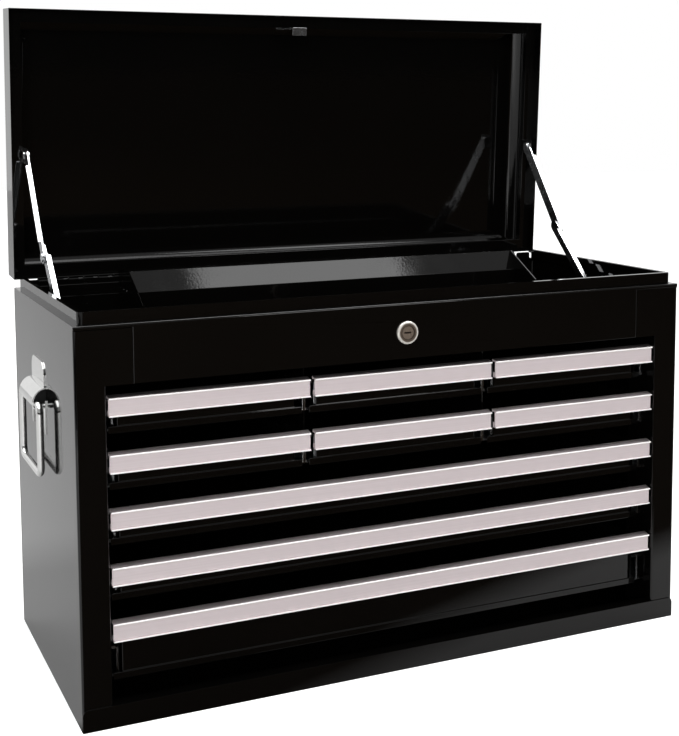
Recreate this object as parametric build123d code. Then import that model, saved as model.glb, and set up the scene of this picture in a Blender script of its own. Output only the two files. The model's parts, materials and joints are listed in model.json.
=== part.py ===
from build123d import *
import os
from math import atan2, cos, degrees, hypot, radians, sin

# Nine-drawer sheet-steel tool chest with a lift-up lid, lid open and drawers shut.
# Millimetres. X runs to the right, Y to the back, Z up. The origin is the centre of
# the underside of the body.

# ---- driving dimensions: body ----
chest_width = 610.0
chest_depth = 268.5
body_height = 345.0          # underside to the ledge that the lid closes on
sheet = 1.0                  # panel thickness
bend_radius = 1.5            # outside of a fold is this plus half the sheet
post_width = 26.4            # front post on each side of the drawers
post_return = 42.0           # how far the post folds back into the body
corner_plate_width = 50.0    # wider top of each post, beside the header
corner_plate_top = 4.0       # the plate stops this far below the ledge
seam = 0.4                   # open line between two welded panels
back_lap = 14.0              # side panel's inward fold behind the back panel
header_height = 51.2         # front panel above the drawers, up to the ledge
header_return = 12.0
rail_height = 19.5           # front rail below the drawers
rail_return = 12.0
rail_corner_radius = 5.0
pan_flange = 12.0            # upturned edge of the bottom panel
weld_mark_radius = 1.6
weld_mark_in = 9.0           # outside the corner plate's inner edge
weld_mark_down = 24.0
weld_mark_depth = 0.3
back_hem = 12.0

# ---- driving dimensions: rim that the lid closes over ----
rim_set_in = 5.0
rim_rise = 11.0
rim_hem = 4.5
rim_hem_drop = 4.0
rim_corner_radius = 4.0
rim_rear_gap = 7.0

# ---- driving dimensions: till ----
till_flange = 10.0
rack_half_width = 214.0      # tool rack's end plates stand this far from the middle
rack_top = 22.0              # above the ledge
rack_rear_from_back = 62.5
rack_top_length = 38.0
rack_slope_length = 50.0
rack_slope_drop = 26.0
rack_panel_ahead = 6.0       # panel's foot in front of the end plates' top edge
rack_band_height = 20.0      # top of the panel, leaning back
rack_band_lean = 8.0
rack_slot_length = 9.0
rack_slot_width = 2.4
rack_hole_radius = 1.5
rack_slot_in = 8.0           # slot in front of the rack's rear edge
rack_hole_in = (18.0, 30.0)
rack_hole_drop = 19.0        # below the rack's top
rack_foot = 12.0

# ---- driving dimensions: lid and hinge ----
lid_height = 50.0
lid_edge_radius = 20.0
lid_clearance = 0.5          # lid edge above the ledge when shut
lid_open_angle = 87.0
lid_flange_width = 12.0      # inner frame that comes to rest on the rim
lid_flange_lip = 6.0
lid_strip_inset = 15.0
lid_strip_width = 14.0
lid_strip_thickness = 2.0
lid_strip_end_gap = 22.0
lid_strip_hole_radius = 2.0
lid_strip_hole_from_end = 9.0
hinge_barrel_radius = 2.6
hinge_pin_radius = 1.2
hinge_leaf = 0.8
hinge_leaf_width = 18.0
hinge_end_gap = 24.0
hinge_knuckles = 36
hinge_out = 3.0              # pin axis behind the back panel
hinge_up = 5.0               # pin axis above the ledge
knuckle_gap = 0.4

# ---- driving dimensions: drawers ----
first_pull_drop = 9.2        # top edge of the top pull below the header
pull_height = 17.7
pull_wall = 1.2
pull_roof_rise = 1.9         # sloping top above the upper lip
pull_roof_fall = 1.4         # roof's inner face below its rear edge
pull_web_depth = 2.2         # how far the web lies behind the lips
pull_clip_depth = 3.0
pull_clip_height = 5.0
pull_top_reach = 8.0
pull_end_gap = 2.2           # between a pull and the post or the bay's middle line
face_set_back = 20.0
face_post_gap = 5.5
face_divider_gap = 3.5
face_inset = 8.0             # face plate's end inside the end of its bottom hem
face_hem_height = 6.0
small_box_drop = 36.0        # box underside below the top of its pull
deep_box_drop = 58.0
deep_box_clearance = 13.5    # underside of the lowest box above the front rail
box_side_gap = 5.5           # top of the box sides below the top of the pull
box_length = 228.0
pull_front_gap = 0.5         # pull behind the front of the posts

# ---- driving dimensions: what the slides hang on ----
divider_flange = 9.0
upright_front = 48.0         # rear channel's front face ahead of the back panel
upright_rear = 20.0

# ---- driving dimensions: slides ----
slide_height = 27.0
slide_depth = 10.0
slide_wall = 1.0
slide_length = 218.0
slide_start = 23.0           # behind the front of the body
slide_above_box = 1.5
slide_running_gap = 0.3

# ---- driving dimensions: side handles ----
handle_half_length = 32.0
handle_behind = 16.0         # handle's middle behind the middle of the side
handle_pivot_drop = 87.0     # wire's pivot below the ledge
bail_wire = 6.5
bail_half_width = 42.0
bail_hang = 63.0
bail_bend_radius = 8.0
bail_stub = 13.0             # turned-in end of the wire
hood_depth = 13.0
hood_rise = 15.0
handle_sheet = 1.2
hood_plate_rise = 36.0       # top of the back plate above the pivot
hood_plate_radius = 12.0
handle_gap = 0.4
retainer_length = 7.0
retainer_tail = 26.0
handle_rivet_radius = 2.6
handle_rivet_head = 4.5
handle_rivet_height = 1.8
handle_rivet_spacing = 24.0
handle_rivet_above = 6.0     # above the wire's pivot, under the hood

# ---- driving dimensions: lock and latch ----
lock_below_ledge = 27.0
lock_bezel_radius = 10.6
lock_bezel_depth = 2.6
lock_barrel_radius = 9.0
lock_barrel_length = 12.2
lock_plug_radius = 6.0
lock_fit = 0.05
lock_key_slot = 1.6
lock_key_length = 7.6
lock_nut_width = 24.0
lock_nut_depth = 3.0
cam_length = 14.0
cam_half_width = 4.0
cam_thickness = 1.5
latch_arm_width = 5.5
latch_gap = 1.0
latch_foot_depth = 8.0
latch_foot_start = 5.0
latch_play = 0.5
latch_neck_gap = 3.0
latch_start = 1.0            # plate's near edge beside the middle of the chest
latch_sheet = 1.5
cam_screw_radius = 3.2
cam_screw_head = 1.6

# ---- driving dimensions: lid stays ----
stay_width = 12.0
stay_thickness = 1.5
stay_flange = 3.0
stay_inset = 14.0            # outer face of the upper bar from the side of the body
stay_bar_gap = 0.5
stay_upper_length = 118.0
stay_bend = 4.4              # degrees the upper bar leans from the line of the pivots
stay_pin_radius = 2.5
stay_head_radius = 4.5
stay_head_height = 1.4
stay_fit = 0.05
stay_tail = 10.0
stay_lid_reach = 126.9       # upper pivot above the hinge pin, lid open
stay_lid_depth = -11.7         # upper pivot behind the hinge pin, lid open
stay_foot_forward = 152.4    # lower pivot in front of the hinge pin
stay_foot_drop = 34.0        # lower pivot below the hinge pin
stay_boss_radius = 6.0
stay_tab_half_width = 8.0
stay_upper_fold = (16.0, 14.0)   # bar's fold stops this far from its start and its end
stay_lower_fold = (2.0, 12.0)
stay_fold_sheet = 1.2
stay_stud_flange = 4.0
stay_stud_base = 1.5
stay_side_gap = 0.3

# ---- places worked out from the sizes above ----
side = chest_width / 2
front = -chest_depth / 2
back = chest_depth / 2
ledge = body_height
opening_top = ledge - header_height
opening_side = side - post_width
corner_plate_inner = side - corner_plate_width
plate_top = ledge - corner_plate_top
rim_top = ledge + rim_rise
till_floor_top = opening_top + 2 * sheet
hinge_y = back + hinge_out
hinge_z = ledge + hinge_up
hinge_axis = Axis((0, hinge_y, hinge_z), (1, 0, 0))
lid_bottom = ledge + lid_clearance
lid_top = lid_bottom + lid_height
lid_flange_z = rim_top + lid_clearance
hinge_half_length = side - hinge_end_gap
bay_width = 2 * opening_side / 3
divider_x = bay_width / 2
first_pull_top = opening_top - first_pull_drop
last_pull_top = rail_height + deep_box_clearance + deep_box_drop
row_pitch = (first_pull_top - last_pull_top) / 4
face_front = front + face_set_back
handle_pivot_height = ledge - handle_pivot_drop
lock_z = ledge - lock_below_ledge
cam_front = front + lock_barrel_length + 0.8
bail_x = side + hood_depth - handle_sheet - handle_gap - bail_wire / 2


# ---- small helpers ----
def block(x0, x1, y0, y1, z0, z1):
    """A box between two corners."""
    size = Box(abs(x1 - x0), abs(y1 - y0), abs(z1 - z0))
    return Pos((x0 + x1) / 2, (y0 + y1) / 2, (z0 + z1) / 2) * size


def rod_x(x0, x1, y, z, radius):
    """A cylinder along X."""
    return Pos((x0 + x1) / 2, y, z) * Rot(0, 90, 0) * Cylinder(radius, abs(x1 - x0))


def rod_y(x, y0, y1, z, radius):
    """A cylinder along Y."""
    return Pos(x, (y0 + y1) / 2, z) * Rot(90, 0, 0) * Cylinder(radius, abs(y1 - y0))


def folded_z(points, z0, z1, thickness=sheet, radius=bend_radius):
    """A folded sheet that stands along Z: its middle line in plan, with rounded folds."""
    line = FilletPolyline(*points, radius=radius)
    return Pos(0, 0, z0) * extrude(trace(line, line_width=thickness), amount=z1 - z0)


def folded_x(points, x0, x1, thickness=sheet, radius=bend_radius):
    """A folded sheet that runs along X: its middle line as (Y, Z) points."""
    line = FilletPolyline(*points, radius=radius)
    face = Plane.YZ * trace(line, line_width=thickness)
    return Pos(x0, 0, 0) * extrude(face, amount=x1 - x0)


def outline_x(points, x0, x1):
    """A flat plate between two X planes, from its (Y, Z) outline."""
    face = Plane.YZ * make_face(Polyline(*points, close=True))
    return Pos(x0, 0, 0) * extrude(face, amount=x1 - x0)


def joined(*pieces):
    """One solid from pieces that touch."""
    whole = pieces[0]
    for piece in pieces[1:]:
        whole = whole + piece
    return whole


def mirrored(shape):
    """The same piece on the other side of the chest."""
    return mirror(shape, about=Plane.YZ)


def opened(shape):
    """A lid piece, drawn shut, turned to where it is with the lid open."""
    return shape.rotate(hinge_axis, -lid_open_angle)


def save(node, *solids):
    """Writes a sub-part's STEP file."""
    shape = solids[0] if len(solids) == 1 else Compound(children=list(solids))
    export_step(shape, os.path.join("parts", node + ".step"))


# ---- body shell ----
def side_panel():
    """Left side: wall, front post folded back beside the drawers, rear fold."""
    half = sheet / 2
    wall = -side + half
    face = front + half
    rear = back - sheet - half
    lower = folded_z(
        [
            (-opening_side - half, front + post_return),
            (-opening_side - half, face),
            (wall, face),
            (wall, rear),
            (-side + back_lap, rear),
        ],
        0,
        opening_top,
    )
    upper = folded_z(
        [
            (-corner_plate_inner - seam, face),
            (wall, face),
            (wall, rear),
            (-side + back_lap, rear),
        ],
        opening_top,
        plate_top,
    )
    top = block(-side, -side + sheet, front + sheet, back - sheet, plate_top, ledge - sheet)
    weld_x = -corner_plate_inner - weld_mark_in
    weld_z = plate_top - weld_mark_down
    weld = rod_y(weld_x, front - weld_mark_depth, front, weld_z, weld_mark_radius)
    return joined(lower, upper, top, weld)


def back_panel():
    panel = block(-side, side, back - sheet, back, 0, ledge)
    hem_half = side - back_lap - seam
    hem = block(-hem_half, hem_half, back - 2 * sheet, back - sheet, ledge - back_hem, ledge)
    return joined(panel, hem)


def corner_reliefs(*corners):
    """What a pan leaves clear of the folds at the corners of the walls."""
    x = side - sheet
    cuts = []
    for y in corners:
        cut = block(-x, -x + bend_radius, y - bend_radius, y + bend_radius, 0, ledge)
        cuts += [cut, mirrored(cut)]
    return joined(*cuts)


def bottom_panel():
    """Shallow pan with upturned edges inside the walls."""
    x1 = side - sheet
    y0 = front + sheet
    y1 = back - 2 * sheet
    x2 = opening_side
    floor = block(-x2, x2, y0, y1, 0, sheet)
    sides = block(-x1, x1, front + post_return + 2, y1, 0, sheet)
    left = block(-x1, -x1 + sheet, front + post_return + 2, y1, 0, pan_flange)
    rear = block(-x1, x1, y1 - sheet, y1, 0, pan_flange)
    return joined(floor, sides, left, mirrored(left), rear) - corner_reliefs(y1)


def bottom_rail():
    """Front rail across the feet of both posts, with rounded top corners."""
    plate = block(-side, side, front - sheet, front, 0, rail_height)
    corners = plate.edges().filter_by(Axis.Y).group_by(Axis.Z)[-1]
    plate = fillet(corners, rail_corner_radius)
    half = opening_side - seam
    top = block(-half, half, front - sheet, front + rail_return, rail_height - sheet, rail_height)
    lip = block(
        -half,
        half,
        front + rail_return - sheet,
        front + rail_return,
        sheet,
        rail_height,
    )
    return joined(plate, top, lip)


def header_panel():
    """Front panel above the drawers, over the tops of both corner plates."""
    inner = corner_plate_inner
    plate = block(-inner, inner, front, front + sheet, opening_top, ledge - sheet)
    strip = block(-side, side, front, front + sheet, plate_top + seam, ledge - sheet)
    half = opening_side
    fold = block(
        -half, half, front + sheet, front + header_return, opening_top, opening_top + sheet
    )
    hole = rod_y(0, front - 1, front + sheet + 1, lock_z, lock_barrel_radius + lock_fit)
    return joined(plate, strip, fold) - hole


def top_rim():
    """Ledge, upright rim and rolled hem round three sides of the body."""
    half = sheet / 2
    rear = back - rim_rear_gap

    def ring(inset, width, z0, z1):
        x = side - inset - width / 2
        y = front + inset + width / 2
        line = FilletPolyline((-x, rear), (-x, y), (x, y), (x, rear), radius=rim_corner_radius)
        return Pos(0, 0, z0) * extrude(trace(line, line_width=width), amount=z1 - z0)

    outer = block(-side, side, front, back - sheet, ledge - sheet, ledge)
    inset = rim_set_in + sheet
    hole = block(-side + inset, side - inset, front + inset, back, ledge - 2 * sheet, ledge + sheet)
    shelf = outer - hole
    shelf = fillet(shelf.edges().group_by(Axis.Y)[0].filter_by(Axis.X).group_by(Axis.Z)[-1], 0.6)
    upright = ring(rim_set_in, sheet, ledge - half, rim_top)
    hem = ring(rim_set_in, rim_hem, rim_top - sheet, rim_top)
    drop = ring(rim_set_in + rim_hem - sheet, sheet, rim_top - rim_hem_drop, rim_top - half)
    return joined(shelf, upright, hem, drop)


# ---- till ----
def till_floor():
    x1 = side - sheet
    y0 = front + sheet
    y1 = back - 2 * sheet
    z1 = till_floor_top
    floor = block(-x1, x1, y0, y1, z1 - sheet, z1)
    left = block(-x1, -x1 + sheet, y0, y1, z1 - sheet, z1 + till_flange)
    rear = block(-x1, x1, y1 - sheet, y1, z1 - sheet, z1 + till_flange)
    fore = block(-x1, x1, y0, y0 + sheet, z1 - sheet, z1 + till_flange)
    hole = rod_y(0, y0 - 1, y0 + sheet + 1, lock_z, lock_nut_width / 2 + 3)
    return joined(floor, left, mirrored(left), rear, fore) - hole - corner_reliefs(y0, y1)


def till_rack():
    """Cross panel in the till with a leaning top band, folded to an end plate at each side."""
    z0 = till_floor_top
    z1 = ledge + rack_top
    y_rear = back - rack_rear_from_back
    y_fore = y_rear - rack_top_length
    y_low = y_fore - rack_slope_length
    z_low = z1 - rack_slope_drop
    end = [(y_rear, z0), (y_rear, z1), (y_fore, z1), (y_low, z_low), (y_low, z0)]
    x = -rack_half_width
    plate = outline_x(end, x, x + sheet)
    slot_z = z1 - rack_band_height * 0.5
    slot_y = y_rear - rack_slot_in
    slot = block(
        x - 1,
        x + sheet + 1,
        slot_y - rack_slot_width / 2,
        slot_y + rack_slot_width / 2,
        slot_z - rack_slot_length,
        slot_z,
    )
    plate = plate - slot
    for along in rack_hole_in:
        hole_z = z1 - rack_hole_drop
        plate = plate - rod_x(x - 1, x + sheet + 1, y_rear - along, hole_z, rack_hole_radius)
    y_band = y_fore - rack_panel_ahead
    bend = z1 - rack_band_height
    line = [(y_band, z0 + sheet), (y_band, bend), (y_band + rack_band_lean, z1 - sheet / 2)]
    panel = folded_x(line, x + sheet / 2, -x - sheet / 2)
    foot = block(x, -x, y_band, y_band + rack_foot, z0, z0 + sheet)
    wall = block(x, -x, y_band - sheet / 2, y_band + sheet / 2, z0, z0 + 2 * sheet)
    return joined(panel, foot, wall, plate, mirrored(plate))


# ---- what carries the drawers ----
def row_top(row):
    """Height of the top of the pulls in a row, counted from the top."""
    return first_pull_top - row * row_pitch


def divider():
    """Upright sheet between two bays of the top two rows, hung from the till floor."""
    x = -divider_x
    z0 = row_top(1) - small_box_drop
    z1 = till_floor_top - sheet
    web = block(x - sheet / 2, x + sheet / 2, front + slide_start, back - 2 * sheet, z0, z1)
    top = block(
        x - sheet / 2, x + divider_flange, front + slide_start, back - 2 * sheet, z1 - sheet, z1
    )
    rear = block(x - sheet / 2, x + divider_flange, back - 3 * sheet, back - 2 * sheet, z0, z1)
    return joined(web, top, rear)


def rear_upright():
    """Channel behind the drawers that carries the back of the outer slides."""
    half = sheet / 2
    y0 = back - upright_front
    y1 = back - upright_rear
    line = [
        (-side + sheet, y0),
        (-opening_side - half, y0),
        (-opening_side - half, y1),
        (-side + sheet, y1),
    ]
    return folded_z(line, pan_flange + 1, till_floor_top - sheet)


def fixed_rail(mount_x, inward, z_mid):
    """Cabinet half of a slide: a channel open towards the drawer."""
    half = slide_height / 2
    y0 = front + slide_start
    y1 = y0 + slide_length
    depth = slide_depth - slide_wall - slide_running_gap
    web = block(mount_x, mount_x + inward * slide_wall, y0, y1, z_mid - half, z_mid + half)
    reach = mount_x + inward * depth
    top = block(mount_x, reach, y0, y1, z_mid + half - slide_wall, z_mid + half)
    low = block(mount_x, reach, y0, y1, z_mid - half, z_mid - half + slide_wall)
    return joined(web, top, low)


def moving_rail(mount_x, inward, z_mid):
    """Drawer half of a slide, running inside the fixed channel."""
    half = slide_height / 2 - slide_wall - slide_running_gap
    y0 = front + slide_start
    y1 = y0 + slide_length
    outer = mount_x + inward * (slide_depth - slide_wall)
    web = block(outer, mount_x + inward * slide_depth, y0, y1, z_mid - half, z_mid + half)
    reach = mount_x + inward * (slide_wall + slide_running_gap)
    top = block(reach, outer, y0, y1, z_mid + half - slide_wall, z_mid + half)
    low = block(reach, outer, y0, y1, z_mid - half, z_mid - half + slide_wall)
    return joined(web, top, low)


# ---- drawers ----
def drawer_bays():
    """Each drawer's row, box drop and the two planes that its slides hang on."""
    bays = []
    half = sheet / 2
    for row in range(5):
        if row < 2:
            edges = [-opening_side, -divider_x, divider_x, opening_side]
            for column in range(3):
                x0 = edges[column] + (half if column > 0 else 0)
                x1 = edges[column + 1] - (half if column < 2 else 0)
                bays.append((row, small_box_drop, x0, x1))
        else:
            drop = small_box_drop if row < 4 else deep_box_drop
            bays.append((row, drop, -opening_side, opening_side))
    return bays


def face_edge(x, inward):
    """End of a drawer's face beside a post, or beside a divider."""
    beside_post = abs(abs(x) - opening_side) < sheet / 4
    return x + inward * (face_post_gap if beside_post else face_divider_gap - sheet / 2)


def drawer_box(row, drop, x0, x1):
    """Folded tray: bottom, sides, back, and a face that folds forward to hold the pull."""
    top = row_top(row)
    bottom = top - drop
    a = x0 + slide_depth
    b = x1 - slide_depth
    y0 = face_front
    y1 = face_front + box_length
    side_top = top - box_side_gap
    face_x0 = face_edge(x0, 1)
    face_x1 = face_edge(x1, -1)
    floor = block(a, b, y0, y1, bottom, bottom + sheet)
    left = block(a, a + sheet, y0, y1, bottom, side_top)
    right = block(b - sheet, b, y0, y1, bottom, side_top)
    rear = block(a, b, y1 - sheet, y1, bottom, side_top)
    lip_y = front + pull_front_gap + pull_web_depth + pull_wall + sheet / 2
    half = sheet / 2
    fold_z = top - pull_roof_rise - pull_wall - half
    line = [
        (y0 + half, bottom),
        (y0 + half, fold_z),
        (lip_y, fold_z),
        (lip_y, top - pull_height + pull_wall + sheet),
    ]
    face = folded_x(line, face_x0 + face_inset, face_x1 - face_inset, radius=0.8)
    hem = block(face_x0, face_x1, y0 - sheet, y0, bottom, bottom + face_hem_height)
    return joined(face, hem, floor, left, right, rear)


def drawer_pull(row, x0, x1):
    """Aluminium section: web between two forward lips, clipped over the drawer's fold."""
    top = row_top(row)
    low = top - pull_height
    a = x0 + pull_end_gap - (0 if abs(x0) > divider_x + sheet else sheet / 2)
    b = x1 - pull_end_gap + (0 if abs(x1) > divider_x + sheet else sheet / 2)
    y0 = front + pull_front_gap
    web_y = y0 + pull_web_depth
    behind = web_y + pull_wall
    lip_top = top - pull_roof_rise
    rear = y0 + pull_top_reach
    web = block(a, b, web_y, behind, low, lip_top)
    upper = block(a, b, y0, behind, lip_top - pull_wall, lip_top)
    roof = outline_x(
        [
            (y0, lip_top - pull_wall),
            (y0, lip_top),
            (rear, top),
            (rear, lip_top - pull_wall),
            (rear - pull_wall, lip_top - pull_wall),
            (rear - pull_wall, top - pull_roof_fall),
            (behind, lip_top - pull_wall),
        ],
        a,
        b,
    )
    lower = block(a, b, y0, behind + pull_clip_depth, low, low + pull_wall)
    clip_y = behind + pull_clip_depth
    clip = block(a, b, clip_y - pull_wall, clip_y, low, low + pull_clip_height)
    return joined(web, upper, roof, lower, clip)


# ---- hinge ----
def knuckle_span(index):
    """The stretch of the hinge that one knuckle takes."""
    pitch = 2 * hinge_half_length / hinge_knuckles
    start = -hinge_half_length + index * pitch
    return start + knuckle_gap / 2, start + pitch - knuckle_gap / 2


def hinge_half(leaf, odd):
    """A leaf with every second knuckle round the pin."""
    shape = leaf
    for index in range(odd, hinge_knuckles, 2):
        x0, x1 = knuckle_span(index)
        shape = shape + rod_x(x0, x1, hinge_y, hinge_z, hinge_barrel_radius)
    bore = rod_x(-side, side, hinge_y, hinge_z, hinge_pin_radius + lock_fit)
    for index in range(1 - odd, hinge_knuckles, 2):
        x0, x1 = knuckle_span(index)
        clear = rod_x(
            x0 - knuckle_gap, x1 + knuckle_gap, hinge_y, hinge_z, hinge_barrel_radius + knuckle_gap
        )
        shape = shape - clear
    return shape - bore


def cabinet_hinge_leaf():
    x = hinge_half_length
    leaf = block(-x, x, back, back + hinge_leaf, hinge_z - hinge_leaf_width, hinge_z)
    return hinge_half(leaf, 0)


def lid_hinge_leaf():
    """Drawn with the lid shut: the leaf lies on the outside of the lid's rear wall."""
    x = hinge_half_length
    leaf = block(-x, x, back, back + hinge_leaf, hinge_z, hinge_z + hinge_leaf_width)
    return opened(hinge_half(leaf, 1))


def hinge_pin():
    x = hinge_half_length + 1.0
    return rod_x(-x, x, hinge_y, hinge_z, hinge_pin_radius)


# ---- lid, drawn shut and then opened ----
def lid_tray(offset):
    """The lid's outer form, or its inside when offset by the sheet."""
    x = side - offset
    tray = block(-x, x, front + offset, back - offset, lid_bottom, lid_top - offset)
    edges = tray.faces().sort_by(Axis.Z)[-1].edges()
    return fillet(edges, lid_edge_radius - offset)


def lid_shell():
    inside = lid_tray(sheet)
    x = side - sheet
    low = block(-x, x, front + sheet, back - sheet, lid_bottom - 5, lid_bottom + 5)
    return opened(lid_tray(0) - inside - low)


def lid_frame():
    """Frame inside the lid's open side: it rests on the rim and holds the stays' pivots."""
    x1 = side - sheet
    y0 = front + sheet
    y1 = back - sheet
    z = lid_flange_z
    inner = lid_flange_width

    def ring(outer_inset, inner_inset, z0, z1):
        x, y = x1 - outer_inset, y1 - outer_inset
        outer = block(-x, x, y0 + outer_inset, y, z0, z1)
        x, y = x1 - inner_inset, y1 - inner_inset
        return outer - block(-x, x, y0 + inner_inset, y, z0 - 1, z1 + 1)

    shelf = ring(0, inner, z, z + sheet)
    outer_lip = ring(0, sheet, z, z + lid_flange_lip)
    inner_lip = ring(inner - sheet, inner, z, z + lid_flange_lip)
    frame = opened(joined(shelf, outer_lip, inner_lip))
    return joined(frame, stay_tab(), mirrored(stay_tab()))


def lid_strip():
    """Reinforcing strip on the underside of the lid's top, left side."""
    z1 = lid_top - sheet
    x0 = -side + lid_strip_inset
    y0 = front + lid_strip_end_gap
    y1 = back - lid_strip_end_gap
    strip = block(x0, x0 + lid_strip_width, y0, y1, z1 - lid_strip_thickness, z1)
    hole = Pos(x0 + lid_strip_width / 2, y0 + lid_strip_hole_from_end, z1) * Cylinder(
        lid_strip_hole_radius, 4 * lid_strip_thickness
    )
    return opened((strip - hole) & lid_tray(sheet))


def latch_hook():
    """Plate on the lid frame's inner lip whose foot goes beneath the turned cam."""
    y0 = cam_front
    y1 = y0 + latch_sheet
    z_top = lid_flange_z + lid_flange_lip
    z_foot = lock_z - cam_half_width - latch_play
    z_neck = lock_z + cam_length + latch_neck_gap
    arm_x = cam_length + latch_gap
    far = arm_x + latch_arm_width
    plate = block(latch_start, far, y0, y1, z_neck, z_top)
    arm = block(arm_x, far, y0, y1, z_foot - latch_sheet, z_neck)
    foot = block(
        latch_foot_start, far, y0, y0 + latch_foot_depth, z_foot - latch_sheet, z_foot
    )
    return opened(joined(plate, arm, foot))


# ---- lid stays, drawn with the lid open, on the left ----
def stay_points():
    """(Y, Z) of the upper pivot, elbow and lower pivot."""
    upper = (hinge_y + stay_lid_depth, hinge_z + stay_lid_reach)
    lower = (hinge_y - stay_foot_forward, hinge_z - stay_foot_drop)
    heading = atan2(lower[1] - upper[1], lower[0] - upper[0]) + radians(stay_bend)
    elbow = (
        upper[0] + stay_upper_length * cos(heading),
        upper[1] + stay_upper_length * sin(heading),
    )
    return upper, elbow, lower


def stay_bar(x0, start, end, flange_x0, flange_x1, flange_start, flange_end, tail):
    """A flat bar with rounded ends and a stiffening fold along its upper edge."""
    length = hypot(end[0] - start[0], end[1] - start[1])
    angle = degrees(atan2(end[1] - start[1], end[0] - start[0]))
    r = stay_width / 2
    web = block(x0, x0 + stay_thickness, 0, length + tail, -r, r)
    web = web + rod_x(x0, x0 + stay_thickness, 0, 0, r)
    web = web + rod_x(x0, x0 + stay_thickness, length + tail, 0, r)
    fold = block(flange_x0, flange_x1, flange_start, length - flange_end, -r, -r + stay_fold_sheet)
    return Pos(0, start[0], start[1]) * Rot(angle, 0, 0) * (web + fold)


def stay_rivet(x0, x1, point, radius):
    return rod_x(x0, x1, point[0], point[1], radius)


def stay_upper():
    """Upper bar on the left, with its rivet through the lid's tab."""
    upper, elbow, lower = stay_points()
    x = -side + stay_inset
    pin_x = x - sheet - 2 * stay_side_gap
    bar = stay_bar(x, upper, elbow, x - stay_flange, x + stay_thickness, *stay_upper_fold, 0)
    pin = stay_rivet(pin_x - stay_head_height, x, upper, stay_pin_radius)
    head = stay_rivet(pin_x - stay_head_height, pin_x, upper, stay_head_radius)
    cap = stay_rivet(
        x + stay_thickness, x + stay_thickness + stay_head_height, upper, stay_head_radius
    )
    button = stay_rivet(x - stay_head_height, x, elbow, stay_head_radius)
    return joined(bar, pin, head, cap, button)


def stay_lower():
    """Lower bar on the left, with its rivet's inner head at the elbow."""
    upper, elbow, lower = stay_points()
    x = -side + stay_inset + stay_thickness + stay_bar_gap
    x_far = x + stay_thickness
    bar = stay_bar(x, elbow, lower, x, x_far + stay_flange, *stay_lower_fold, 0)
    button = stay_rivet(x_far, x_far + stay_head_height, elbow, stay_head_radius)
    length = hypot(lower[0] - elbow[0], lower[1] - elbow[1])
    back_step = (
        (elbow[0] - lower[0]) / length * stay_tail,
        (elbow[1] - lower[1]) / length * stay_tail,
    )
    tail_end = (elbow[0] + back_step[0], elbow[1] + back_step[1])
    tail = stay_bar(x, elbow, tail_end, x, x_far, 1, 1, 0)
    hole = stay_rivet(x - 1, x_far + 1, lower, stay_pin_radius + stay_fit)
    return joined(bar, tail, button) - hole


def stay_tab():
    """Ear of the lid frame that the upper bar is riveted to, as it is with the lid open."""
    upper, elbow, lower = stay_points()
    x1 = -side + stay_inset - stay_side_gap
    x0 = x1 - sheet
    turn = radians(lid_open_angle)
    y = hinge_y + stay_lid_depth * cos(turn) - stay_lid_reach * sin(turn)
    z = hinge_z + stay_lid_depth * sin(turn) + stay_lid_reach * cos(turn)
    half = stay_tab_half_width
    shut = block(x0, x1, y - half, y + half, z - half, lid_flange_z + sheet)
    return opened(shut) - stay_rivet(x0 - 1, x1 + 1, upper, stay_pin_radius + stay_fit)


def stay_anchor():
    """Stud on the side wall that the lower bar turns on."""
    upper, elbow, lower = stay_points()
    x = -side + stay_inset + stay_thickness + stay_bar_gap
    wall = -side + sheet
    base = stay_rivet(wall, wall + stay_stud_base, lower, stay_boss_radius + stay_stud_flange)
    boss = stay_rivet(wall, x - stay_side_gap, lower, stay_boss_radius)
    head_x = x + stay_thickness + stay_side_gap
    pin = stay_rivet(x - stay_side_gap, head_x, lower, stay_pin_radius)
    head = stay_rivet(head_x, head_x + stay_head_height, lower, stay_head_radius)
    return joined(base, boss, pin, head)


# ---- lock ----
def lock_barrel():
    body = rod_y(0, front, front + lock_barrel_length, lock_z, lock_barrel_radius)
    bezel = rod_y(0, front - lock_bezel_depth, front, lock_z, lock_bezel_radius)
    bezel = fillet(bezel.edges().group_by(Axis.Y)[0], lock_bezel_depth * 0.55)
    bore = rod_y(
        0,
        front - lock_bezel_depth - 1,
        front + lock_barrel_length + 1,
        lock_z,
        lock_plug_radius + lock_fit,
    )
    return joined(body, bezel) - bore


def lock_nut():
    y0 = front + sheet
    nut = Pos(0, y0 + lock_nut_depth / 2, lock_z) * Rot(90, 0, 0) * extrude(
        RegularPolygon(lock_nut_width / 2, 6), amount=lock_nut_depth / 2, both=True
    )
    bore_radius = lock_barrel_radius + lock_fit
    return nut - rod_y(0, y0 - 1, y0 + lock_nut_depth + 1, lock_z, bore_radius)


def lock_plug():
    y0 = front - lock_bezel_depth * 0.7
    plug = rod_y(0, y0, cam_front, lock_z, lock_plug_radius)
    half = lock_key_length / 2
    slot = block(
        -half, half, y0 - 1, y0 + 8, lock_z - lock_key_slot / 2, lock_z + lock_key_slot / 2
    )
    return plug - slot


def lock_cam():
    """Arm on the back of the plug: it stands up when unlocked and turns over the latch foot."""
    y0 = cam_front
    y1 = cam_front + cam_thickness
    hub = rod_y(0, y0, y1, lock_z, cam_half_width + 2)
    arm = block(-cam_half_width, cam_half_width, y0, y1, lock_z, lock_z + cam_length)
    screw = rod_y(0, y1, y1 + cam_screw_head, lock_z, cam_screw_radius)
    return joined(hub, arm, screw)


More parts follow.
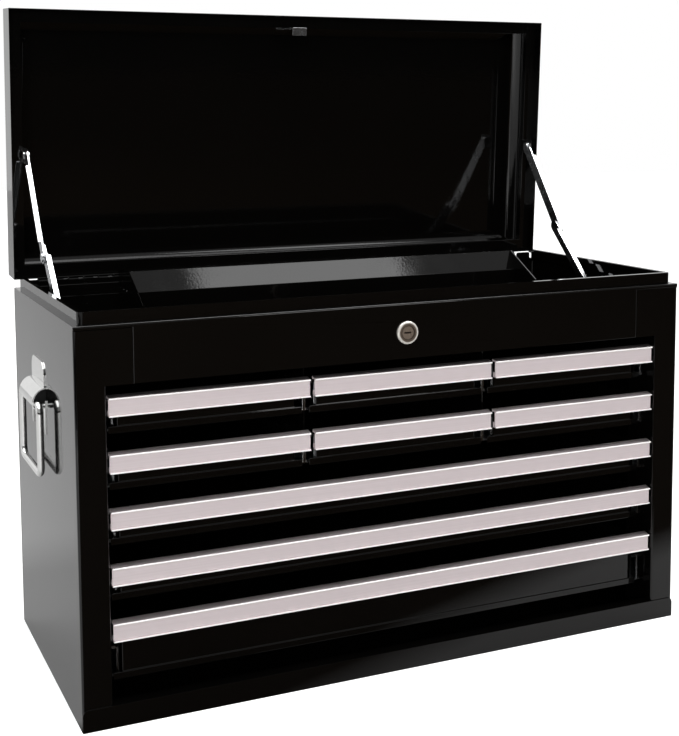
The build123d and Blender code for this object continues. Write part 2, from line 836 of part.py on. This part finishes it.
# ---- side handles, drawn on the right and mirrored ----
def handle_bracket():
    """Back plate with a quarter-round hood over the wire and a pointed tail at each end."""
    x = side
    y = handle_half_length
    z0 = handle_pivot_height - 1
    z_top = handle_pivot_height + hood_plate_rise
    plate = block(x, x + handle_sheet, -y + 4, y - 4, z0, z_top)
    top_corners = plate.edges().filter_by(Axis.X).group_by(Axis.Z)[-1]
    plate = fillet(top_corners, hood_plate_radius)
    outer = Ellipse(hood_depth, hood_rise)
    inner = Ellipse(hood_depth - handle_sheet, hood_rise - handle_sheet)
    quarter = Pos(hood_depth / 2, hood_rise / 2) * Rectangle(hood_depth, hood_rise)
    arch = (outer - inner) & quarter
    hood_face = Plane(origin=(x, y, z0), x_dir=(1, 0, 0), z_dir=(0, -1, 0)) * arch
    hood = extrude(hood_face, amount=2 * y)
    shelf_z = handle_pivot_height - bail_wire / 2 - handle_gap
    shelf_x = x + hood_depth - handle_sheet - 1
    shelf = block(
        x, shelf_x, -y, -y + retainer_length, shelf_z - handle_sheet, shelf_z
    )
    strap = block(
        x, x + handle_sheet, -y, -y + retainer_length, shelf_z - handle_sheet, z0 + 2
    )
    tail_end = shelf_z - retainer_tail
    tail = outline_x(
        [
            (-y, shelf_z),
            (-y + retainer_length, shelf_z),
            (-y + retainer_length / 2 + 1.2, tail_end),
            (-y + retainer_length / 2 - 1.2, tail_end),
        ],
        x,
        x + handle_sheet,
    )
    near = joined(shelf, strap, tail)
    far = mirror(near, about=Plane.XZ)
    bridge = block(x, x + handle_sheet, -y, y, z0, z0 + 3)
    bracket = joined(plate, hood, bridge, near, far)
    for hole_y in handle_rivet_places():
        bracket = bracket - rod_x(x - 1, x + 3, hole_y, handle_rivet_z(), handle_rivet_radius)
    return bracket


def handle_rivet_places():
    return (-handle_rivet_spacing / 2, handle_rivet_spacing / 2)


def handle_rivet_z():
    return handle_pivot_height + handle_rivet_above


def handle_rivets():
    """Two rivets through the side wall on the right."""
    solids = []
    for y in handle_rivet_places():
        z = handle_rivet_z()
        shank = rod_x(side, side + handle_sheet, y, z, handle_rivet_radius)
        head_x = side + handle_sheet
        head = rod_x(head_x, head_x + handle_rivet_height, y, z, handle_rivet_head)
        head = fillet(head.edges().group_by(Axis.X)[-1], 1.2)
        solids.append(joined(shank, head))
    return solids


def handle_bail():
    """Wire loop that hangs from its two turned-in ends."""
    z = handle_pivot_height
    y = bail_half_width
    low = z - bail_hang
    stub = y - bail_stub
    path = FilletPolyline(
        (bail_x, -stub, z),
        (bail_x, -y, z),
        (bail_x, -y, low),
        (bail_x, y, low),
        (bail_x, y, z),
        (bail_x, stub, z),
        radius=bail_bend_radius,
    )
    start = Plane(origin=(bail_x, -stub, z), z_dir=(0, -1, 0))
    return sweep(start * Circle(bail_wire / 2), path=path)


def main():
    os.makedirs("parts", exist_ok=True)
    panel = side_panel()
    save("side_panel_left", panel)
    save("side_panel_right", mirrored(panel))
    save("back_panel", back_panel())
    save("bottom_panel", bottom_panel())
    save("bottom_rail", bottom_rail())
    save("header_panel", header_panel())
    save("top_rim", top_rim())
    save("till_floor", till_floor())
    save("till_rack", till_rack())
    save("bay_dividers", divider(), mirrored(divider()))
    save("rear_uprights", rear_upright(), mirrored(rear_upright()))

    rails = []
    for number, (row, drop, x0, x1) in enumerate(drawer_bays(), start=1):
        z_mid = row_top(row) - drop + slide_above_box + slide_height / 2
        rails.append(fixed_rail(x0, 1, z_mid))
        rails.append(fixed_rail(x1, -1, z_mid))
        name = "drawer_%d" % number
        save(name + "_box", drawer_box(row, drop, x0, x1))
        save(name + "_pull", drawer_pull(row, x0, x1))
        save(name + "_rails", moving_rail(x0, 1, z_mid), moving_rail(x1, -1, z_mid))
    save("cabinet_rails", *rails)

    save("cabinet_hinge_leaf", cabinet_hinge_leaf())
    save("hinge_pin", hinge_pin())
    save("lid_hinge_leaf", lid_hinge_leaf())
    save("lid_shell", lid_shell())
    save("lid_frame", lid_frame())
    save("lid_strips", lid_strip(), mirrored(lid_strip()))
    save("latch_hook", mirrored(latch_hook()))
    save("stay_upper_left", stay_upper())
    save("stay_upper_right", mirrored(stay_upper()))
    save("stay_lower_left", stay_lower())
    save("stay_lower_right", mirrored(stay_lower()))
    save("stay_anchors", stay_anchor(), mirrored(stay_anchor()))
    save("lock_barrel", lock_barrel())
    save("lock_nut", lock_nut())
    save("lock_plug", lock_plug())
    save("lock_cam", lock_cam())

    place = Pos(0, handle_behind, 0)
    bracket = place * handle_bracket()
    bail = place * handle_bail()
    save("handle_bracket_right", bracket)
    save("handle_bracket_left", mirrored(bracket))
    rivets = [place * rivet for rivet in handle_rivets()]
    save("handle_rivets", *rivets, *[mirrored(rivet) for rivet in rivets])
    save("handle_bail_right", bail)
    save("handle_bail_left", mirrored(bail))


main()
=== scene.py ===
import json
import math

import bmesh
import bpy
from mathutils import Matrix, Vector


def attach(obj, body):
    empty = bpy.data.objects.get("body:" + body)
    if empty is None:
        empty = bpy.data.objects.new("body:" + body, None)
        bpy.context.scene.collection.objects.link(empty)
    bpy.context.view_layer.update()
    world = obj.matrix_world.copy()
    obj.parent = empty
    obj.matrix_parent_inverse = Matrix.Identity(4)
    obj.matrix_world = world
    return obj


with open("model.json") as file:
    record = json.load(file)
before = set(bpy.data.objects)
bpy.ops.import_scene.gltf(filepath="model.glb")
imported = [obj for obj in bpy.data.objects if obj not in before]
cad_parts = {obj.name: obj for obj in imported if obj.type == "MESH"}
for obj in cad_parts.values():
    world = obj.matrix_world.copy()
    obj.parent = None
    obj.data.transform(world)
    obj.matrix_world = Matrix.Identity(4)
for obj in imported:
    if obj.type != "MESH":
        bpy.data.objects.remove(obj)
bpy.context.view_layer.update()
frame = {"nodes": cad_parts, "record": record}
scene = bpy.context.scene
scene.view_settings.view_transform = "Standard"

# All lengths are in metres. The chest stands on z = 0 with its front towards -y.

# ---- camera ----
IMAGE_HEIGHT = 736
PRINCIPAL_ROW = 240          # the picture is cropped, so its optical centre is high
FOCAL_PIXELS = 1279.8
SENSOR_WIDTH = 36.0
CAMERA_AT = (-0.5252, -1.1619, 0.5154)
YAW, PITCH, ROLL = 24.033, 5.574, -0.313

camera_data = bpy.data.cameras.new("photo_camera")
camera_data.sensor_width = SENSOR_WIDTH
camera_data.lens = FOCAL_PIXELS * SENSOR_WIDTH / IMAGE_HEIGHT
camera_data.shift_y = -(IMAGE_HEIGHT / 2 - PRINCIPAL_ROW) / IMAGE_HEIGHT
camera_data.clip_start = 0.05
camera = bpy.data.objects.new("photo_camera", camera_data)
scene.collection.objects.link(camera)
turn = Matrix.Rotation(math.radians(-YAW), 4, "Z") @ Matrix.Rotation(math.radians(90 - PITCH), 4, "X")
camera.matrix_world = Matrix.Translation(CAMERA_AT) @ turn @ Matrix.Rotation(math.radians(ROLL), 4, "Z")
scene.camera = camera


# ---- node helpers ----
class Nodes:
    """Short calls for building a tree of shader nodes."""

    def __init__(self, tree):
        self.tree = tree

    def add(self, kind, **values):
        node = self.tree.nodes.new(kind)
        for key, value in values.items():
            setattr(node, key, value)
        return node

    def link(self, source, target):
        self.tree.links.new(source, target)

    def calc(self, kind, *values):
        """A Math node; each value is a number or a socket."""
        node = self.add("ShaderNodeMath", operation=kind)
        for value, target in zip(values, node.inputs):
            if isinstance(value, (int, float)):
                target.default_value = value
            else:
                self.link(value, target)
        return node.outputs[0]

    def vector(self, kind, source, value=None):
        """A Vector Math node on a socket and, where it takes one, a fixed vector."""
        node = self.add("ShaderNodeVectorMath", operation=kind)
        self.link(source, node.inputs[0])
        if value is not None:
            node.inputs[1].default_value = value
        return node.outputs["Value" if kind == "LENGTH" else "Vector"]

    def split(self, source):
        node = self.add("ShaderNodeSeparateXYZ")
        self.link(source, node.inputs[0])
        return node.outputs

    def ramp(self, source, low, high, at=(0.0, 1.0), shape="LINEAR"):
        """From low to high while the source goes from at[0] to at[1]."""
        node = self.add("ShaderNodeMapRange", interpolation_type=shape)
        for name, value in zip(("From Min", "From Max", "To Min", "To Max"), (*at, low, high)):
            node.inputs[name].default_value = value
        self.link(source, node.inputs["Value"])
        return node.outputs["Result"]

    def blend(self, factor, first, second):
        """A Mix Shader of two shaders' outputs."""
        node = self.add("ShaderNodeMixShader")
        for source, target in zip((factor, first, second), node.inputs):
            self.link(source, target)
        return node.outputs[0]


class Finish(Nodes):
    """A material: its nodes, its Principled shader and the object's coordinates."""

    def __init__(self, name):
        self.material = bpy.data.materials.new(name)
        self.material.use_nodes = True
        super().__init__(self.material.node_tree)
        self.shader = self.tree.nodes["Principled BSDF"]
        self.coords = self.add("ShaderNodeTexCoord").outputs["Object"]

    def put(self, name, value):
        """A value that is the same all over."""
        self.shader.inputs[name].default_value = value

    def drive(self, name, source):
        """A value that changes over the surface."""
        self.link(source, self.shader.inputs[name])

    def noise(self, scale, detail=2.0, rough=0.5, stretch=(1, 1, 1)):
        mapping = self.add("ShaderNodeMapping")
        mapping.inputs["Scale"].default_value = stretch
        self.link(self.coords, mapping.inputs["Vector"])
        node = self.add("ShaderNodeTexNoise")
        node.inputs["Scale"].default_value = scale
        node.inputs["Detail"].default_value = detail
        node.inputs["Roughness"].default_value = rough
        self.link(mapping.outputs["Vector"], node.inputs["Vector"])
        return node.outputs["Fac"]

    def mix(self, factor, first, second):
        """Between two colours, each a tuple or a socket."""
        node = self.add("ShaderNodeMix", data_type="RGBA")
        for name, value in (("A", first), ("B", second)):
            target = [s for s in node.inputs if s.name == name and s.type == "RGBA"][0]
            if isinstance(value, tuple):
                target.default_value = (*value, 1)
            else:
                self.link(value, target)
        self.link(factor, node.inputs[0])
        return [s for s in node.outputs if s.type == "RGBA"][0]

    def bump(self, height, strength, distance):
        node = self.add("ShaderNodeBump")
        node.inputs["Strength"].default_value = strength
        node.inputs["Distance"].default_value = distance
        self.link(height, node.inputs["Height"])
        self.drive("Normal", node.outputs["Normal"])


# ---- materials ----
PATCHES = (0.3, 0.7)              # where a noise has most of its values
LIP_FACE = -0.13375               # front of the pulls' lips, drawers shut
LIP_HIGHLIGHT_BLEND = (0.0004, 0.0012)      # behind that face, where the lips' painted highlight fades out
ROOF_TILT = (0.75, 0.92)          # a normal's z, between the web and the pull's sloping top
LOCK_AT = (0.0, 0.0, 0.318)
BEZEL_GROOVE = (0.0066, 0.0070)   # radius, from the dark groove to the face
BEZEL_RING_HIGHLIGHT = (0.0084, 0.0088)     # radius, from the face to the chrome ring; its near-white tone is partly a painted highlight


def black_gloss():
    n = Finish("black_gloss_paint")
    n.drive("Base Color", n.mix(n.noise(7.0, 3.0), (0.0012, 0.0011, 0.0010), (0.0022, 0.0020, 0.0018)))
    n.drive("Roughness", n.ramp(n.noise(40.0, 4.0), 0.035, 0.08, PATCHES))
    n.bump(n.noise(420.0, 1.5), 0.03, 0.0006)
    return n.material


def pull_aluminium():
    """Satin web, front lips painted near-white as a highlight, and a mirror-like sloping top."""
    n = Finish("satin_anodised_aluminium")
    lines = n.noise(260.0, 3.0, 0.6, (0.02, 1, 4))
    satin = n.mix(lines, (0.585, 0.51, 0.52), (0.68, 0.61, 0.62))
    # The lips' front faces are near-white: a painted highlight for the bright lines along them.
    lip_highlight = n.ramp(n.split(n.coords)["Y"], 1.0, 0.0, tuple(LIP_FACE + depth for depth in LIP_HIGHLIGHT_BLEND))
    n.drive("Base Color", n.mix(lip_highlight, satin, (0.97, 0.95, 0.94)))
    normal = n.split(n.add("ShaderNodeNewGeometry").outputs["Normal"])
    n.drive("Metallic", n.ramp(normal["Z"], 0.15, 1.0, ROOF_TILT))
    n.drive("Roughness", n.ramp(lines, 0.36, 0.48))
    n.bump(lines, 0.15, 0.0002)
    return n.material


# Near-black for the pads at the handles' hood ends: painted shade where the open ends are dark.
def hood_shade_black():
    n = Finish("hood_shade_black")
    n.drive("Base Color", n.mix(n.noise(300.0), (0.004, 0.004, 0.004), (0.010, 0.010, 0.010)))
    n.put("Roughness", 0.6)
    n.put("Specular IOR Level", 0.2)
    return n.material


def plated(name, dark, light, smooth, rough, grain=180.0, metal=1.0):
    """Metal between two tones and two roughnesses."""
    n = Finish(name)
    n.drive("Base Color", n.mix(n.noise(grain, 4.0, 0.6), dark, light))
    n.put("Metallic", metal)
    n.drive("Roughness", n.ramp(n.noise(grain / 4, 3.0), smooth, rough, PATCHES))
    return n.material


def lock_bezel():
    """Chromed outer ring round a darker turned face; the ring's near-white tone is partly a painted highlight."""
    n = Finish("lock_bezel")
    offset = n.vector("SUBTRACT", n.coords, LOCK_AT)
    radius = n.vector("LENGTH", n.vector("MULTIPLY", offset, (1, 0, 1)))
    groove = n.ramp(radius, 0.0, 1.0, BEZEL_GROOVE)
    face = n.mix(groove, (0.04, 0.03, 0.022), (0.15, 0.115, 0.09))
    # Outer ring: chrome whose cream-white tone is partly a painted highlight.
    n.drive("Base Color", n.mix(n.ramp(radius, 0.0, 1.0, BEZEL_RING_HIGHLIGHT), face, (0.86, 0.82, 0.76)))
    n.put("Metallic", 0.45)
    n.put("Roughness", 0.16)
    return n.material


PAINT = black_gloss()
HOOD_SHADE = hood_shade_black()
BEZEL = lock_bezel()
BY_SLOT = {
    "black_paint": PAINT,
    "pull_aluminium": pull_aluminium(),
    "zinc_steel": plated("bright_zinc", (0.52, 0.53, 0.55), (0.68, 0.69, 0.70), 0.18, 0.32),
    "chrome": plated("polished_chrome", (0.70, 0.70, 0.69), (0.80, 0.80, 0.79), 0.03, 0.09),
    "lock_nickel": plated("satin_nickel", (0.14, 0.105, 0.08), (0.24, 0.19, 0.15), 0.22, 0.34, 900.0, 0.35),
}


# ---- the solids' finish ----
EDGE_ROUND = 0.00028
PAINT_EDGE = 0.00045
RIM_EDGE = 0.0009                 # rolled hem, rounder than a cut edge
WELD = 0.000005
SHARP = math.radians(40)

slots = {entry["node"]: entry["material_slot"] for entry in frame["record"]["subparts"]}


def round_edges(obj, width):
    bevel = obj.modifiers.new("edges", "BEVEL")
    bevel.width = width
    bevel.segments = 2
    bevel.limit_method = "ANGLE"
    bevel.angle_limit = SHARP
    return bevel


def dress(name, obj):
    """One solid's material and rounded edges."""
    material = BEZEL if name == "lock_barrel" else BY_SLOT[slots[name]]
    if not obj.material_slots:
        obj.data.materials.append(material)
    for slot in obj.material_slots:
        slot.material = material
    obj.modifiers.new("weld", "WELD").merge_threshold = WELD
    width = PAINT_EDGE if slots[name] == "black_paint" else EDGE_ROUND
    bevel = round_edges(obj, RIM_EDGE if name == "top_rim" else width)
    bevel.harden_normals = False
    bevel.use_clamp_overlap = True


for node_name, node_obj in frame["nodes"].items():
    dress(node_name, node_obj)


# ---- pieces the solids leave out ----
SIDE = 0.305                      # outside of the side walls
BACK = 0.13425                    # outside of the back wall
HOOD_Z = 0.2572                   # underside of the handles' hoods
HANDLE_Y = 0.016                  # middle of the handles
PAD_REACH, PAD_HEIGHT = 0.0113, 0.0133
PAD_Y, PAD_THICKNESS = 0.0302, 0.0008
PAD_STEPS = 8                     # sides of the pad's quarter round
TAB_Y = (BACK - 0.0042, BACK - 0.0034)
TAB_OUTLINE = ((0.2805, 0.3440), (0.2985, 0.3440), (0.2985, 0.3505),
               (0.2970, 0.3520), (0.2820, 0.3520), (0.2805, 0.3505))
SIDES = ((-1, "left"), (1, "right"))


def plate(name, outline, low, high, material):
    """A plate of the cabinet from its outline, (x, z) pairs, and its two y, with rounded edges."""
    count = len(outline)
    points = [(x, y, z) for y in (low, high) for x, z in outline]
    faces = [tuple(range(count)), tuple(range(2 * count - 1, count - 1, -1))]
    for i in range(count):
        j = (i + 1) % count
        faces.append((j, i, i + count, j + count))
    mesh = bpy.data.meshes.new(name)
    mesh.from_pydata(points, [], faces)
    shape = bmesh.new()
    shape.from_mesh(mesh)
    bmesh.ops.recalc_face_normals(shape, faces=shape.faces)
    shape.to_mesh(mesh)
    shape.free()
    obj = bpy.data.objects.new(name, mesh)
    scene.collection.objects.link(obj)
    mesh.materials.append(material)
    round_edges(obj, abs(high - low) * 0.2)
    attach(obj, "cabinet")


def hood_shade_pads():
    """Near-black pads across the ends of the handles' hoods, round the wire: painted shade for the hoods' dark
    open ends.
    """
    for sign, tag in SIDES:
        for end, word in ((-1, "front"), (1, "rear")):
            outline = [(sign * SIDE, HOOD_Z), (sign * (SIDE + PAD_REACH), HOOD_Z)]
            for step in range(1, PAD_STEPS + 1):
                angle = math.radians(90 * step / PAD_STEPS)
                x = SIDE + PAD_REACH * math.cos(angle)
                outline.append((sign * x, HOOD_Z + PAD_HEIGHT * math.sin(angle)))
            y = HANDLE_Y + end * PAD_Y
            plate("hood_shade_pad_%s_%s" % (tag, word), outline, y, y + end * PAD_THICKNESS, HOOD_SHADE)


def hinge_stops():
    """Upturned tabs of the back wall that close the gap beside each end of the hinge."""
    for sign, tag in SIDES:
        outline = [(sign * x, z) for x, z in TAB_OUTLINE]
        plate("hinge_end_tab_%s" % tag, outline, *TAB_Y, PAINT)


hood_shade_pads()
hinge_stops()


# ---- floor ----
FLOOR_HALF = 8.0
FLOOR_GLOW = 0.7
FRONT_SHEEN = 0.75                # how much of the floor ahead the front mirrors
FRONT_FADE = (-0.13, -0.11)       # y, from the floor ahead of the chest to that beside it
SIDE_FADE = (-0.318, -0.304)      # x, from the floor left of the chest to that ahead of it
TABLE_SLOPE = 0.366
TABLE_EDGE = -0.158               # the edge runs through y = TABLE_EDGE - TABLE_SLOPE * x
TABLE_FADE = 0.03


def make_floor():
    """Pale floor. What the gloss paint mirrors of it ends at a table's edge in front."""
    mesh = bpy.data.meshes.new("floor")
    corners = [(x * FLOOR_HALF, y * FLOOR_HALF, 0) for x, y in ((-1, -1), (1, -1), (1, 1), (-1, 1))]
    mesh.from_pydata(corners, [], [(0, 1, 2, 3)])
    floor = bpy.data.objects.new("floor", mesh)
    scene.collection.objects.link(floor)
    n = Finish("pale_floor")
    n.drive("Base Color", n.mix(n.noise(3.0, 2.0), (0.67, 0.67, 0.67), (0.70, 0.70, 0.70)))
    n.put("Roughness", 0.7)
    n.put("Specular IOR Level", 0.2)
    rays = n.add("ShaderNodeLightPath").outputs
    n.put("Emission Color", (1, 1, 1, 1))
    n.drive("Emission Strength", n.calc("MULTIPLY", rays["Is Camera Ray"], FLOOR_GLOW))

    spot = n.split(n.coords)
    across = n.calc("MULTIPLY_ADD", spot["X"], TABLE_SLOPE, spot["Y"])
    near = n.ramp(across, 0.0, 1.0, (TABLE_EDGE - TABLE_FADE, TABLE_EDGE + TABLE_FADE))
    ahead = n.ramp(spot["Y"], 1.0, 0.0, FRONT_FADE)
    beside = n.ramp(spot["X"], 0.0, 1.0, SIDE_FADE)
    unlit = n.calc("MULTIPLY", n.calc("MULTIPLY", ahead, beside), n.calc("MULTIPLY_ADD", near, -FRONT_SHEEN, 1.0))
    dark = n.add("ShaderNodeBsdfDiffuse")
    dark.inputs["Color"].default_value = (0.03, 0.021, 0.014, 1)
    hide = n.calc("MULTIPLY", rays["Is Glossy Ray"], unlit)
    surface = n.blend(hide, n.shader.outputs[0], dark.outputs[0])
    out = [node for node in n.tree.nodes if node.type == "OUTPUT_MATERIAL"][0]
    n.link(surface, out.inputs["Surface"])
    mesh.materials.append(n.material)


make_floor()


# ---- light ----
STUDIO_LEVEL = 0.9
DARK_LEVEL = 0.006
FRONT_LEVEL = 0.45
TOP_LEVEL = 4.5                   # ceiling light that the polished edges show
TOP_EDGE = (0.72, 0.82)           # direction's z where it starts
DARK_TURN = (-0.35, 0.1)          # direction's y: dark in front, white behind
DARK_TOP = (0.14, 0.22)           # direction's z where the front turns pale again
DARK_LOW = (0.9, 0.95)            # the same, downwards


def make_world():
    """A pale studio: white above, behind and beside, dark towards the photographer."""
    world = bpy.data.worlds.new("studio")
    scene.world = world
    world.use_nodes = True
    n = Nodes(world.node_tree)
    n.tree.nodes.clear()
    out = n.add("ShaderNodeOutputWorld")
    toward = n.split(n.add("ShaderNodeTexCoord").outputs["Generated"])
    rays = n.add("ShaderNodeLightPath").outputs

    def smooth(value, at):
        return n.ramp(value, 0.0, 1.0, at, "SMOOTHSTEP")

    behind = smooth(toward["Y"], DARK_TURN)
    above = smooth(toward["Z"], DARK_TOP)
    below = smooth(n.calc("MULTIPLY", toward["Z"], -1.0), DARK_LOW)
    bright = n.calc("MAXIMUM", behind, n.calc("MULTIPLY", above, FRONT_LEVEL))
    bright = n.calc("MAXIMUM", bright, below)
    level = n.calc("MULTIPLY_ADD", bright, 1.0 - DARK_LEVEL, DARK_LEVEL)
    zenith = n.calc("MULTIPLY", smooth(toward["Z"], TOP_EDGE), rays["Is Glossy Ray"])
    level = n.calc("MULTIPLY_ADD", zenith, TOP_LEVEL, level)

    studio = n.add("ShaderNodeBackground")
    studio.inputs["Color"].default_value = (1, 1, 1, 1)
    n.link(n.calc("MULTIPLY", level, STUDIO_LEVEL), studio.inputs["Strength"])
    white = n.add("ShaderNodeBackground")
    white.inputs["Color"].default_value = (1, 1, 1, 1)
    white.inputs["Strength"].default_value = 1.0
    backdrop = n.blend(rays["Is Camera Ray"], studio.outputs[0], white.outputs[0])
    n.link(backdrop, out.inputs["Surface"])


def area(name, at, target, width, height, power):
    """A rectangular lamp, itself out of the camera's sight."""
    data = bpy.data.lights.new(name, "AREA")
    data.shape = "RECTANGLE"
    data.size, data.size_y = width, height
    data.energy = power
    lamp = bpy.data.objects.new(name, data)
    scene.collection.objects.link(lamp)
    lamp.location = at
    lamp.rotation_euler = (Vector(target) - Vector(at)).to_track_quat("-Z", "Y").to_euler()
    lamp.visible_camera = False
    return lamp


make_world()
fill = area("front_fill", (-1.1, -3.0, 1.1), (0.0, -0.1, 0.2), 1.6, 1.0, 52.0)
fill.visible_glossy = False
area("softbox", (1.12, -2.25, 2.0), (0.04, 0.03, 0.36), 0.68, 0.9, 6.6)
area("overhead", (1.4, -0.45, 2.9), (1.4, -0.45, 0.0), 3.4, 0.5, 55.0)
